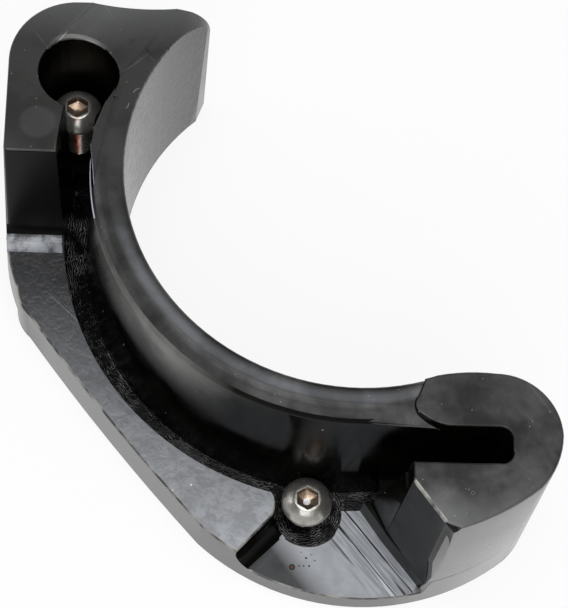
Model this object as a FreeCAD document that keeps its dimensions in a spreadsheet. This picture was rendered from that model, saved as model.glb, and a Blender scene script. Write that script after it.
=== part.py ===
import FreeCAD, Part

import math
import os

import Sketcher

os.makedirs("parts", exist_ok=True)

doc = FreeCAD.newDocument("CaseSaver")

# Driving sizes in millimetres and degrees, placed from the axis of the sprocket inside the saver.
# Distances to the left and to the front of that axis are given as positive numbers.
SIZES = {
    # The whole moulding
    "innerRadius": 47.0,
    "fullHeight": 47.0,
    "shelfHeight": 12.5,
    "wallDraft": 1.5,
    "cutMargin": 1.0,
    # The rib round the sprocket and the channel outside it
    "ribWidth": 7.0,
    "ribDrop": 0.8,
    "ribLean": 1.4,
    "shoulderWidth": 3.4,
    "shoulderDrop": 2.2,
    "shoulderRadius": 4.6,
    "ribStart": 160.0,
    "ribEnd": 288.0,
    "rootStart": 264.0,
    "rootRight": 20.0,
    "channelStart": 165.5,
    "channelEnd": 278.0,
    "channelWidth": 6.8,
    "channelLean": 1.2,
    "floorHeight": 4.5,
    # The block with the deep access hole
    "leftWall": 72.6,
    "northWall": 39.6,
    "northCorner": 14.0,
    "endFace": 29.8,
    "endAngle": 34.0,
    "endRound": 10.0,
    "creaseLeft": 38.0,
    "creaseFootLeft": 52.5,
    "creaseFootUp": 15.0,
    "stepFace": 1.9,
    "accessDiameter": 16.4,
    "accessLeft": 56.9,
    "accessUp": 20.2,
    "accessFloor": 12.0,
    "dishAngle": 52.0,
    "dishDepth": 2.0,
    "dishHalfWidth": 8.4,
    # The outer wall from the block round to the lobe
    "bendTop": -2.0,
    "bendLeft": 69.8,
    "bendDown": 13.5,
    "bendRadius": 40.0,
    "elbowLeft": 66.7,
    "elbowDown": 20.2,
    "elbowRadius": 9.0,
    "bellyLeft": 29.4,
    "bellyDown": 65.9,
    "bellyRadius": 50.5,
    "diagonalRadius": 520.0,
    # The lobe at the free end and its slot
    "lobeFlankRight": 35.6,
    "lobeFlankDown": 68.0,
    "lobeFlankRadius": 17.0,
    "lobeNoseRight": 40.9,
    "lobeNoseDown": 56.2,
    "lobeBackRight": 27.0,
    "lobeBackDown": 43.4,
    "lobeNoseRadius": 12.6,
    "lobeNeckRight": 13.0,
    "lobeNeckDown": 45.0,
    "lobeNeckRadius": 38.0,
    "lobeTipRight": 11.5,
    "lobeTipDown": 48.7,
    "lobeTipRadius": 2.7,
    "lobeTipFrontRight": 11.4,
    "lobeTipFrontDown": 52.4,
    "lobeTipEndRight": 19.3,
    "lobeTipFrontRadius": 13.4,
    "lobeStepRight": 8.8,
    "lobeStepUpper": 57.0,
    "lobeStepLower": 66.2,
    "lobeLipRight": 16.3,
    "lobeLipDown": 77.2,
    "webDepth": 1.6,
    "webHeight": 40.0,
    "webBackRight": 9.4,
    "webBackDown": 54.8,
    "slotFront": 62.2,
    "slotWidth": 7.2,
    "slotEnd": 29.6,
    "slotFloor": 12.5,
    "slotCorner": 2.4,
    # The low pocket for the front screw
    "pocketHeight": 6.0,
    "pocketInnerRight": 4.2,
    "pocketInnerOut": 5.4,
    "shelfTipLeft": 15.2,
    "shelfTipOut": 9.9,
    "shelfTipBackLeft": 17.6,
    "shelfTipBackOut": 2.2,
    "shelfTipRadius": 4.6,
    "rampRun": 5.4,
    "rampDrop": 5.8,
    "rampRadius": 5.0,
    "spotLeft": 6.7,
    "spotOut": 6.3,
    "spotDiameter": 14.4,
    "spotTurn": 22.0,
    # The two button head screws
    "frontScrewLeft": 7.4,
    "frontScrewOut": 6.0,
    "frontScrewLength": 12.0,
    "rearScrewLeft": 57.6,
    "rearScrewUp": 22.2,
    "rearScrewLength": 25.0,
    "threadDiameter": 6.0,
    "screwClearance": 0.4,
    "headDiameter": 10.5,
    "headHeight": 3.3,
    "headEdge": 0.7,
    "domeRadius": 5.2,
    "socketRim": 5.8,
    "hexWidth": 4.0,
    "hexDepth": 2.1,
    "tipChamfer": 0.8,
}

# Heights and places that follow from the sizes above
RIB_TOP = "(Sizes.fullHeight - Sizes.ribDrop)"
RIB_OUTER = "(Sizes.innerRadius + Sizes.ribWidth)"
FRONT_SCREW_DOWN = f"({RIB_OUTER} + Sizes.frontScrewOut)"
SPOT_DOWN = f"({RIB_OUTER} + Sizes.spotOut)"
POCKET_INNER_DOWN = f"({RIB_OUTER} + Sizes.pocketInnerOut)"
SHELF_TIP_DOWN = f"({RIB_OUTER} + Sizes.shelfTipOut)"
SHELF_TIP_BACK_DOWN = f"({RIB_OUTER} + Sizes.shelfTipBackOut)"

sheet = doc.addObject("Spreadsheet::Sheet", "Sizes")
for row, (alias, value) in enumerate(SIZES.items(), start=1):
    sheet.set(f"A{row}", alias)
    sheet.set(f"B{row}", str(value))
    sheet.setAlias(f"B{row}", alias)
doc.recompute()


def value(expression):
    """The number that an expression on the sheet gives now."""
    result = sheet.evalExpression(expression)
    return float(getattr(result, "Value", result))


def new_body(label):
    body = doc.addObject("PartDesign::Body", label)
    body.Label = label
    return body


def new_sketch(body, name, plane="XY_Plane", height=None):
    """A sketch on one of the body's own origin planes, raised to a height if one is given."""
    sketch = body.newObject("Sketcher::SketchObject", name)
    support = [item for item in body.Origin.OriginFeatures if item.Role == plane][0]
    sketch.AttachmentSupport = [(support, "")]
    sketch.MapMode = "FlatFace"
    if height:
        sketch.setExpression("AttachmentOffset.Base.z", height)
    return sketch


def fix(sketch, kind, *where, expression):
    """Adds one dimension to a sketch and ties it to the sheet."""
    index = sketch.addConstraint(Sketcher.Constraint(kind, *where, value(expression)))
    sketch.setExpression(f"Constraints[{index}]", expression)


def arc_between(start, end, radius):
    """A short arc, drawn anticlockwise from start to end."""
    chord = end - start
    middle = (start + end) * 0.5
    right = FreeCAD.Vector(chord.y, -chord.x, 0).normalize()
    rise = radius - math.sqrt(max(radius**2 - (chord.Length / 2)**2, 0))
    return Part.Arc(start, middle + right * rise, end)


def corner(x, y, radius=None, hollow=False, lean=(0, 0)):
    """One corner of an outline. With a radius, an arc leads from it to the next corner.
    Its lean says which way, and how many times the usual draft, the walls there lean out at their foot."""
    return {"x": x, "y": y, "radius": radius, "hollow": hollow, "lean": lean}


def leaned(item, height):
    """The same corner at another height, moved in by the draft of the walls that meet there."""
    moved = dict(item)
    for axis, times in zip("xy", item["lean"]):
        if times:
            moved[axis] = f"{item[axis]} - {times} * {height} * tan(Sizes.wallDraft)"
    return moved


def add_outline(sketch, corners):
    """Draws a closed outline, anticlockwise, and ties each corner and each arc's radius to the sheet."""
    points = [FreeCAD.Vector(value(item["x"]), value(item["y"]), 0) for item in corners]
    runs = []
    for index, item in enumerate(corners):
        start = points[index]
        end = points[(index + 1) % len(points)]
        if not item["radius"]:
            runs.append((sketch.addGeometry(Part.LineSegment(start, end)), 1, 2))
        elif item["hollow"]:
            runs.append((sketch.addGeometry(arc_between(end, start, value(item["radius"]))), 2, 1))
        else:
            runs.append((sketch.addGeometry(arc_between(start, end, value(item["radius"]))), 1, 2))
    for index, item in enumerate(corners):
        run, first, last = runs[index]
        before, before_first, before_last = runs[index - 1]
        sketch.addConstraint(Sketcher.Constraint("Coincident", before, before_last, run, first))
        fix(sketch, "DistanceX", -1, 1, run, first, expression=item["x"])
        fix(sketch, "DistanceY", -1, 1, run, first, expression=item["y"])
        if item["radius"]:
            fix(sketch, "Radius", run, expression=item["radius"])


def add_circle(sketch, x, y, diameter):
    centre = FreeCAD.Vector(value(x), value(y), 0)
    run = sketch.addGeometry(Part.Circle(centre, FreeCAD.Vector(0, 0, 1), value(diameter) / 2))
    if value(x) or value(y):
        fix(sketch, "DistanceX", -1, 1, run, 3, expression=x)
        fix(sketch, "DistanceY", -1, 1, run, 3, expression=y)
    else:
        sketch.addConstraint(Sketcher.Constraint("Coincident", run, 3, -1, 1))
    fix(sketch, "Diameter", run, expression=diameter)


def pad(body, name, corners, height):
    """A solid grown upwards from the ground, whose walls lean in as a mould needs."""
    low = new_sketch(body, name + "_foot")
    add_outline(low, corners)
    high = new_sketch(body, name + "_top", height=height)
    add_outline(high, [leaned(item, height) for item in corners])
    feature = body.newObject("PartDesign::AdditiveLoft", name)
    feature.Profile = low
    feature.Sections = [high]
    feature.Ruled = True
    return feature


def pocket_above(body, name, floor, corners=None, circle=None):
    """Takes away everything above a floor inside an outline or a circle."""
    sketch = new_sketch(body, name + "_outline", height=floor)
    if corners:
        add_outline(sketch, corners)
    else:
        add_circle(sketch, *circle)
    feature = body.newObject("PartDesign::Pocket", name)
    feature.Profile = sketch
    feature.Type = "ThroughAll"
    feature.Reversed = True
    return feature


def radial_section(body, name, corners, angle):
    """A section of radius and height, in the upright plane that leaves the sprocket's axis at an angle."""
    sketch = new_sketch(body, name, plane="XZ_Plane")
    upright = FreeCAD.Rotation(FreeCAD.Vector(0, 1, 0), 1)
    sketch.AttachmentOffset = FreeCAD.Placement(FreeCAD.Vector(), upright)
    sketch.setExpression("AttachmentOffset.Rotation.Angle", angle)
    add_outline(sketch, corners)
    return sketch


def sweep_round(body, kind, name, corners, start, end):
    """Turns a section of radius and height about the sprocket's axis, between two angles."""
    sketch = radial_section(body, name + "_section", corners, start)
    feature = body.newObject(kind, name)
    feature.Profile = sketch
    feature.ReferenceAxis = (sketch, ["V_Axis"])
    feature.setExpression("Angle", f"{end} - {start}")
    return feature


def round_foot(body, name, height, beside, radius):
    """Fills the straight inner edge that runs nearest to a point, at a given height, with a fillet."""
    doc.recompute()
    base = body.Tip
    point = FreeCAD.Vector(value(beside[0]), value(beside[1]), value(height))
    gaps = {}
    for index, edge in enumerate(base.Shape.Edges, start=1):
        if edge.Curve.TypeId == "Part::GeomLine":
            middle = (edge.Vertexes[0].Point + edge.Vertexes[-1].Point) * 0.5
            gaps[(middle - point).Length] = f"Edge{index}"
    feature = body.newObject("PartDesign::Fillet", name)
    feature.Base = (base, [gaps[min(gaps)]])
    feature.setExpression("Radius", radius)
    return feature


def rib_section(inner, foot, outer):
    """The rib cut across, with its outer top edge rounded."""
    return [
        corner(inner, "0.0"),
        corner(foot, "0.0"),
        corner(outer, f"{RIB_TOP} - Sizes.shoulderDrop", "Sizes.shoulderRadius"),
        corner(f"{outer} - Sizes.shoulderWidth", RIB_TOP),
        corner(inner, RIB_TOP),
    ]


def case_saver_body():
    body = new_body("case_saver_body")
    inside = "(Sizes.innerRadius - Sizes.cutMargin * 4)"
    rib_foot = f"({RIB_OUTER} + Sizes.ribLean)"
    channel_outer = f"({RIB_OUTER} + Sizes.channelWidth)"
    above = "(Sizes.fullHeight + Sizes.cutMargin)"

    # The outer wall, shared by the deck and by the block and the lobe that stand on it
    north_end = corner("-Sizes.endFace", "Sizes.northWall", lean=(0, 2.3))
    north_corner = corner("-(Sizes.leftWall - Sizes.northCorner)", "Sizes.northWall", "Sizes.northCorner",
                          lean=(-1, 2.3))
    left_top = corner("-Sizes.leftWall", "Sizes.northWall - Sizes.northCorner", lean=(-1, 2.3))
    bend = corner("-Sizes.leftWall", "Sizes.bendTop", "Sizes.bendRadius", lean=(-1, 0))
    elbow = corner("-Sizes.bendLeft", "-Sizes.bendDown", "Sizes.elbowRadius", lean=(-0.95, -0.31))
    diagonal = corner("-Sizes.elbowLeft", "-Sizes.elbowDown", "Sizes.diagonalRadius", lean=(-0.77, -0.63))
    belly = corner("-Sizes.bellyLeft", "-Sizes.bellyDown", "Sizes.bellyRadius", lean=(-0.72, -0.69))
    flank = corner("Sizes.lobeFlankRight", "-Sizes.lobeFlankDown", "Sizes.lobeFlankRadius",
                   lean=(0.61, -0.79))
    nose = corner("Sizes.lobeNoseRight", "-Sizes.lobeNoseDown", "Sizes.lobeNoseRadius", lean=(1, 0))
    back = corner("Sizes.lobeBackRight", "-Sizes.lobeBackDown", "Sizes.lobeNeckRadius", lean=(0, 0.25))
    neck = corner("Sizes.lobeNeckRight", "-Sizes.lobeNeckDown")
    deck_end = corner(f"-{inside} * cos(Sizes.endAngle)", f"{inside} * sin(Sizes.endAngle)")
    pad(body, "deck", [
        north_end, north_corner, left_top, bend, elbow, diagonal, belly, flank, nose, back, neck,
        corner(f"{inside} * cos(Sizes.ribEnd)", f"{inside} * sin(Sizes.ribEnd)", inside, hollow=True),
        deck_end,
    ], "Sizes.shelfHeight")

    # The block, from the outer wall to the crease where the rib runs up to its end
    pad(body, "block", [
        corner("-Sizes.creaseLeft", "Sizes.northWall", lean=(0, 2.3)), north_corner, left_top,
        corner("-Sizes.leftWall", "-Sizes.stepFace", lean=(-1, -2.7)),
        corner(f"-{RIB_OUTER}", "-Sizes.stepFace", lean=(0, -2.7)),
        corner("-Sizes.creaseFootLeft", "Sizes.creaseFootUp"),
    ], "Sizes.fullHeight")

    # The lobe, still without its slot, with a rounded tip on top of the rib
    slot_back = "-(Sizes.slotFront - Sizes.slotWidth)"
    pad(body, "lobe", [
        corner("Sizes.lobeStepRight", "-Sizes.lobeStepUpper", lean=(-1, 0)),
        corner("Sizes.lobeStepRight", "-Sizes.lobeStepLower", lean=(-1, 0)),
        corner("Sizes.lobeLipRight", "-Sizes.lobeLipDown", "Sizes.bellyRadius", lean=(-0.7, -1)),
        flank, nose, back, neck,
        corner("Sizes.lobeTipRight", "-Sizes.lobeTipDown", "Sizes.lobeTipRadius"),
        corner("Sizes.lobeTipFrontRight", "-Sizes.lobeTipFrontDown", "Sizes.lobeTipFrontRadius"),
        corner("Sizes.lobeTipEndRight", f"{slot_back} - Sizes.cutMargin / 4"),
    ], "Sizes.fullHeight")

    # The rib's last stretch, beside the block, which narrows up to the end face
    pad(body, "rib_end", [
        north_end,
        corner("-Sizes.creaseLeft", "Sizes.northWall", lean=(0, 2.3)),
        corner("-Sizes.creaseFootLeft", "Sizes.creaseFootUp"),
        corner(f"{inside} * cos(Sizes.ribStart)", f"{inside} * sin(Sizes.ribStart)"),
        deck_end,
    ], RIB_TOP)

    # The rib, a ring sector whose outer wall leans out towards its foot
    sweep_round(body, "PartDesign::Revolution", "rib", rib_section(inside, rib_foot, RIB_OUTER),
                "Sizes.ribStart", "Sizes.ribEnd")

    # The round clearance for the sprocket, which leaves the inner wall
    pocket_above(body, "sprocket_clearance", "-Sizes.cutMargin",
                 circle=("0.0", "0.0", "2 * Sizes.innerRadius"))

    # The channel along the foot of the rib, and the hollow cut on top of the block beside the crease
    outer_at_floor = f"({channel_outer} - Sizes.channelLean * (1 - Sizes.floorHeight / Sizes.fullHeight))"
    rib_at_floor = f"({RIB_OUTER} + Sizes.ribLean * (1 - Sizes.floorHeight / {RIB_TOP}))"
    sweep_round(body, "PartDesign::Groove", "channel", [
        corner(rib_at_floor, "Sizes.floorHeight"), corner(outer_at_floor, "Sizes.floorHeight"),
        corner(channel_outer, above), corner(RIB_OUTER, above), corner(RIB_OUTER, RIB_TOP),
    ], "Sizes.channelStart", "Sizes.channelEnd")

    # The slot in the lobe, open towards the channel
    slot_mouth = "Sizes.lobeStepRight - Sizes.cutMargin"
    slot_turn = "(Sizes.slotEnd - Sizes.slotCorner)"
    pocket_above(body, "slot", "Sizes.slotFloor", corners=[
        corner(slot_mouth, "-Sizes.slotFront"),
        corner(slot_turn, "-Sizes.slotFront", "Sizes.slotCorner"),
        corner("Sizes.slotEnd", "-(Sizes.slotFront - Sizes.slotCorner)"),
        corner("Sizes.slotEnd", f"{slot_back} - Sizes.slotCorner", "Sizes.slotCorner"),
        corner(slot_turn, slot_back),
        corner(slot_mouth, slot_back),
    ])

    # The rib's root, which leaves the round and runs out along the back wall of the slot
    root_inner = "Sizes.innerRadius + Sizes.cutMargin"
    root_start = radial_section(body, "rib_root_start", rib_section(root_inner, rib_foot, RIB_OUTER),
                                "Sizes.rootStart")
    root_end = new_sketch(body, "rib_root_end", plane="YZ_Plane", height="Sizes.rootRight")
    back_wall = "(Sizes.slotFront - Sizes.slotWidth - Sizes.screwClearance / 4)"
    add_outline(root_end, [
        corner(f"-({root_inner})", "0.0"),
        corner(f"-{back_wall}", "0.0"),
        corner(f"-{back_wall}", f"{RIB_TOP} - Sizes.shoulderDrop"),
        corner(f"-({back_wall} - Sizes.shoulderWidth)", RIB_TOP),
        corner(f"-({root_inner})", RIB_TOP),
    ])
    root = body.newObject("PartDesign::AdditiveLoft", "rib_root")
    root.Profile = root_start
    root.Sections = [root_end]
    root.Ruled = True

    # The web that fills the corner between the lobe's step, the front pocket and the channel's end
    web_edge = "(Sizes.lobeStepRight + Sizes.webDepth / 2)"
    web_inner = corner("Sizes.lobeStepRight + Sizes.webDepth", "-Sizes.slotFront")
    low = new_sketch(body, "web_foot")
    add_outline(low, [
        corner("Sizes.pocketInnerRight", f"-{POCKET_INNER_DOWN}"),
        corner("Sizes.lobeStepRight", "-Sizes.lobeStepLower"),
        web_inner,
        corner("Sizes.webBackRight", "-Sizes.webBackDown"),
    ])
    high = new_sketch(body, "web_top", height="Sizes.webHeight")
    add_outline(high, [
        corner(web_edge, "-Sizes.slotFront"),
        corner(web_edge, "-Sizes.lobeStepLower"),
        web_inner,
        corner("Sizes.lobeStepRight + 3 * Sizes.webDepth / 4", "-Sizes.slotFront"),
    ])
    web = body.newObject("PartDesign::AdditiveLoft", "web")
    web.Profile = low
    web.Sections = [high]
    web.Ruled = True

    # The round access hole down to the rear screw's seat
    pocket_above(body, "access_hole", "Sizes.accessFloor",
                 circle=("-Sizes.accessLeft", "Sizes.accessUp", "Sizes.accessDiameter"))

    # The low pocket in front of the rib, its turned tip of shelf and the flat for the front screw
    pocket_above(body, "front_pocket", "Sizes.pocketHeight", corners=[
        corner("-Sizes.shelfTipLeft - 3 * Sizes.rampRun", f"-{SHELF_TIP_DOWN} - 3 * Sizes.rampDrop"),
        corner("Sizes.lobeLipRight + Sizes.rampRun", "-Sizes.lobeLipDown - Sizes.rampDrop"),
        corner("Sizes.lobeStepRight", "-Sizes.lobeStepLower"),
        corner("Sizes.pocketInnerRight", f"-{POCKET_INNER_DOWN}"),
        corner("-Sizes.shelfTipBackLeft", f"-{SHELF_TIP_BACK_DOWN}", "Sizes.shelfTipRadius", hollow=True),
        corner("-Sizes.shelfTipLeft", f"-{SHELF_TIP_DOWN}"),
    ])
    ramp_middle = ("-Sizes.shelfTipLeft - Sizes.rampRun / 2", f"-{SHELF_TIP_DOWN} - Sizes.rampDrop / 2")
    round_foot(body, "ramp_fillet", "Sizes.pocketHeight", ramp_middle, "Sizes.rampRadius")
    spot_reach = "Sizes.spotDiameter / 2"
    spot_back = f"-{SPOT_DOWN} + {spot_reach} * sin(Sizes.spotTurn)"
    pocket_above(body, "spot_face", "Sizes.floorHeight", corners=[
        corner(f"-Sizes.spotLeft - {spot_reach} * cos(Sizes.spotTurn)", spot_back, spot_reach),
        corner("-Sizes.spotLeft", f"-{SPOT_DOWN} - {spot_reach}", spot_reach),
        corner(f"-Sizes.spotLeft + {spot_reach} * cos(Sizes.spotTurn)", spot_back),
    ])

    # Clearance holes for the two screws
    hole = "Sizes.threadDiameter + Sizes.screwClearance"
    pocket_above(body, "front_hole", "-Sizes.cutMargin",
                 circle=("-Sizes.frontScrewLeft", f"-{FRONT_SCREW_DOWN}", hole))
    pocket_above(body, "rear_hole", "-Sizes.cutMargin",
                 circle=("-Sizes.rearScrewLeft", "Sizes.rearScrewUp", hole))

    # The shallow hollow on top of the block between the access hole and the crease
    dish_radius = "(Sizes.dishHalfWidth^2 + Sizes.dishDepth^2) / (2 * Sizes.dishDepth)"
    dish = body.newObject("PartDesign::SubtractiveCylinder", "dish")
    dish.setExpression("Radius", f"{dish_radius} * 1mm")
    dish.setExpression("Height", "Sizes.innerRadius")
    turn = FreeCAD.Rotation(FreeCAD.Vector(0, 0, 1), value("Sizes.dishAngle"))
    dish.Placement.Rotation = turn * FreeCAD.Rotation(FreeCAD.Vector(0, 1, 0), 90)
    dish.setExpression("Placement.Base.x", "-Sizes.accessLeft")
    dish.setExpression("Placement.Base.y", "Sizes.accessUp")
    dish.setExpression("Placement.Base.z", f"Sizes.fullHeight - Sizes.dishDepth + {dish_radius}")

    # The rounded upper end of the rib
    rounding = new_sketch(body, "end_round_section", plane="XZ_Plane")
    rounding.setExpression("AttachmentOffset.Base.z", "-Sizes.accessUp")
    add_outline(rounding, [
        corner("-(Sizes.endFace + Sizes.endRound)", "Sizes.fullHeight + Sizes.cutMargin"),
        corner("-(Sizes.endFace + Sizes.endRound)", RIB_TOP, "Sizes.endRound", hollow=True),
        corner("-Sizes.endFace", f"{RIB_TOP} - Sizes.endRound"),
        corner("-(Sizes.endFace - Sizes.cutMargin)", f"{RIB_TOP} - Sizes.endRound"),
        corner("-(Sizes.endFace - Sizes.cutMargin)", "Sizes.fullHeight + Sizes.cutMargin"),
    ])
    end_round = body.newObject("PartDesign::Pocket", "end_round")
    end_round.Profile = rounding
    end_round.Type = "ThroughAll"
    return body


def button_screw(label, length):
    """A socket button head screw, standing on its tip, with the thread as a plain shank."""
    body = new_body(label)
    section = new_sketch(body, label + "_section", plane="XZ_Plane")
    shank = "Sizes.threadDiameter / 2"
    head = "Sizes.headDiameter / 2"
    rim = "Sizes.socketRim / 2"
    add_outline(section, [
        corner("0.0", "0.0"),
        corner(f"{shank} - Sizes.tipChamfer", "0.0"),
        corner(shank, "Sizes.tipChamfer"),
        corner(shank, length),
        corner(head, length),
        corner(head, f"{length} + Sizes.headEdge", "Sizes.domeRadius"),
        corner(rim, f"{length} + Sizes.headHeight"),
        corner("0.0", f"{length} + Sizes.headHeight"),
    ])
    turned = body.newObject("PartDesign::Revolution", label + "_blank")
    turned.Profile = section
    turned.ReferenceAxis = (section, ["V_Axis"])
    turned.Angle = 360

    # The hexagon socket, with one corner towards the back
    hexagon = new_sketch(body, label + "_hexagon", height=f"{length} + Sizes.headHeight - Sizes.hexDepth")
    reach = "(Sizes.hexWidth / sqrt(3))"
    add_outline(hexagon, [
        corner(f"{reach} * cos({turn})", f"{reach} * sin({turn})") for turn in range(30, 390, 60)
    ])
    socket = body.newObject("PartDesign::Pocket", label + "_socket")
    socket.Profile = hexagon
    socket.Type = "ThroughAll"
    socket.Reversed = True
    return body


body = case_saver_body()
front_screw = button_screw("front_screw", "Sizes.frontScrewLength")
rear_screw = button_screw("rear_screw", "Sizes.rearScrewLength")
doc.recompute()

# The part's own origin lies on the ground, under the middle of its overall box
box = body.Shape.optimalBoundingBox(False)
sheet.set("D1", str(-box.Center.x))
sheet.setAlias("D1", "originShiftX")
sheet.set("D2", str(-box.Center.y))
sheet.setAlias("D2", "originShiftY")
doc.recompute()
body.setExpression("Placement.Base.x", "Sizes.originShiftX")
body.setExpression("Placement.Base.y", "Sizes.originShiftY")
front_screw.setExpression("Placement.Base.x", "Sizes.originShiftX - Sizes.frontScrewLeft")
front_screw.setExpression("Placement.Base.y", f"Sizes.originShiftY - {FRONT_SCREW_DOWN}")
rear_screw.setExpression("Placement.Base.x", "Sizes.originShiftX - Sizes.rearScrewLeft")
rear_screw.setExpression("Placement.Base.y", "Sizes.originShiftY + Sizes.rearScrewUp")
doc.recompute()

parts = [body, front_screw, rear_screw]
for item in doc.Objects:
    if "Invalid" in item.State or "Error" in item.State:
        raise SystemExit(f"{item.Name} failed: {item.State}")
for part in parts:
    if part.Shape.isNull() or not part.Shape.isValid() or len(part.Shape.Solids) != 1:
        raise SystemExit(f"{part.Label} is not one valid solid")
    part.Shape.exportStep(f"parts/{part.Label}.step")
    print(part.Label, round(part.Shape.Volume, 1), part.Shape.optimalBoundingBox(False))
print("origin shift", sheet.originShiftX, sheet.originShiftY)
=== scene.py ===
import math

import bmesh
import bpy
from mathutils import Matrix, Vector
from mathutils.bvhtree import BVHTree
from mathutils.kdtree import KDTree


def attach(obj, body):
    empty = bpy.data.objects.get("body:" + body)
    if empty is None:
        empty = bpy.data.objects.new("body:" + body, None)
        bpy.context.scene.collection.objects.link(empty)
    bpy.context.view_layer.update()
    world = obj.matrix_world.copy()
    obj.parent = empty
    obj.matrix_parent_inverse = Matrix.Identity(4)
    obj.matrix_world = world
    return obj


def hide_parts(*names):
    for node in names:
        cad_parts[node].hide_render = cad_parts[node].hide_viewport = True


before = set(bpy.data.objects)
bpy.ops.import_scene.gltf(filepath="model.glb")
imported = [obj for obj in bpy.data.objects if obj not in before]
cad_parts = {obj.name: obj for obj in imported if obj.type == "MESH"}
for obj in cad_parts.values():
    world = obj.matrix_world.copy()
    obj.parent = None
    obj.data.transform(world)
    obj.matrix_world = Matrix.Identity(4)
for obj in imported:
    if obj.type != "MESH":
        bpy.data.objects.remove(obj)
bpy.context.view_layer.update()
print("frame loaded")

mm = 0.001

# the axis of the sprocket that the saver goes round, seen from above, in millimetres
axisX, axisY = 15.849, 19.616


def place(x, y, z=0.0):
    # millimetres from the sprocket's axis, as the drawing gives them, to metres in the part's frame
    return Vector(((x + axisX) * mm, (y + axisY) * mm, z * mm))


def fromAxis(point):
    # the other way round: metres in the part's frame to millimetres from the sprocket's axis
    return Vector((point.x / mm - axisX, point.y / mm - axisY, point.z / mm))


# camera
shot = {
    "partTurn": 10.0,
    "aimX": 9.22,
    "aimY": 12.0,
    "elevation": 66.4,
    "roll": 10.9,
    "distance": 444.44,
    "focalPixels": 2000.0,
    "imageWidth": 568.0,
    "sensorWidth": 36.0,
}


def makeCamera():
    up = math.radians(shot["elevation"])
    turnBack = Matrix.Rotation(math.radians(-shot["partTurn"]), 4, "Z")
    aim = turnBack @ Vector((-shot["aimX"], -shot["aimY"], 0.0))
    away = turnBack @ Vector((0.0, -math.cos(up), math.sin(up)))
    right = turnBack @ Vector((1.0, 0.0, 0.0))
    above = away.cross(right)
    turn = Matrix((right, above, away)).transposed().to_4x4()
    turn = turn @ Matrix.Rotation(math.radians(shot["roll"]), 4, "Z")
    data = bpy.data.cameras.new("photoCamera")
    data.sensor_fit = "HORIZONTAL"
    data.sensor_width = shot["sensorWidth"]
    data.lens = shot["focalPixels"] / shot["imageWidth"] * shot["sensorWidth"]
    data.clip_start = 0.01
    data.clip_end = 20.0
    camera = bpy.data.objects.new("photoCamera", data)
    spot = place(aim.x, aim.y) + away * shot["distance"] * mm
    camera.matrix_world = Matrix.Translation(spot) @ turn
    bpy.context.scene.collection.objects.link(camera)
    bpy.context.scene.camera = camera


makeCamera()
print("camera placed")


# small helpers for node trees
def feed(tree, node, inputs):
    # an input that is given another node's output is linked to it, and any other is set
    for key, value in inputs.items():
        socket = node.inputs[key]
        if isinstance(value, bpy.types.NodeSocket):
            tree.links.new(value, socket)
        else:
            socket.default_value = (*value, 1.0) if socket.type == "RGBA" else value


def addNode(tree, kind, inputs=None, **settings):
    node = tree.nodes.new(kind)
    for key, value in settings.items():
        setattr(node, key, value)
    feed(tree, node, inputs or {})
    return node


def calculate(tree, operation, *values, clamped=False):
    node = addNode(tree, "ShaderNodeMath", dict(enumerate(values)), operation=operation, use_clamp=clamped)
    return node.outputs["Value"]


def calculateVector(tree, operation, *values):
    node = addNode(tree, "ShaderNodeVectorMath", dict(enumerate(values)), operation=operation)
    return node.outputs["Value" if operation in ("LENGTH", "DISTANCE", "DOT_PRODUCT") else "Vector"]


def combine(tree, operation, *values):
    total = values[0]
    for value in values[1:]:
        total = calculate(tree, operation, total, value)
    return total


def times(tree, value, factor):
    return calculate(tree, "MULTIPLY", value, factor)


def spread(tree, value, limits, results=(0.0, 1.0), kind="LINEAR"):
    # the value's way from the first limit to the last, as a number from the first result to the last
    inputs = {"Value": value, "From Min": limits[0], "From Max": limits[1], "To Min": results[0], "To Max": results[1]}
    return addNode(tree, "ShaderNodeMapRange", inputs, interpolation_type=kind).outputs["Result"]


def between(tree, mask, results):
    return spread(tree, mask, (0.0, 1.0), results)


def mixColours(tree, mask, first, second):
    return addNode(tree, "ShaderNodeMix", {"Factor": mask, "A": first, "B": second}, data_type="RGBA").outputs["Result"]


def paintOver(tree, look, colour, *coats):
    # one coat after another, each a mask and the name of its colour
    for mask, paint in coats:
        colour = mixColours(tree, mask, colour, look[paint])
    return colour


def axesOf(tree, vector):
    return addNode(tree, "ShaderNodeSeparateXYZ", {"Vector": vector}).outputs


def objectCoordinates(tree):
    return addNode(tree, "ShaderNodeTexCoord").outputs["Object"]


def setBump(tree, shader, height, strength, distance):
    bump = addNode(tree, "ShaderNodeBump", {"Height": height, "Strength": strength, "Distance": distance * mm})
    feed(tree, shader, {"Normal": bump.outputs["Normal"]})


def inMetres(values):
    return [value * mm for value in values]


def alongX(values):
    return [place(value, 0.0).x for value in values]


def alongY(values):
    return [place(0.0, value).y for value in values]


# effects that several finishes share
floatSocket = "NodeSocketFloat"
vectorSocket = "NodeSocketVector"


def newGroup(name, inputs, outputs):
    group = bpy.data.node_groups.new(name, "ShaderNodeTree")
    for label, kind, start in inputs:
        socket = group.interface.new_socket(name=label, in_out="INPUT", socket_type=kind)
        if start is not None:
            socket.default_value = start
    for label in outputs:
        group.interface.new_socket(name=label, in_out="OUTPUT", socket_type=floatSocket)
    return group, addNode(group, "NodeGroupInput").outputs, addNode(group, "NodeGroupOutput")


def useGroup(tree, group, where, output=0, **inputs):
    return addNode(tree, "ShaderNodeGroup", {"Vector": where, **inputs}, node_tree=group).outputs[output]


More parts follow.
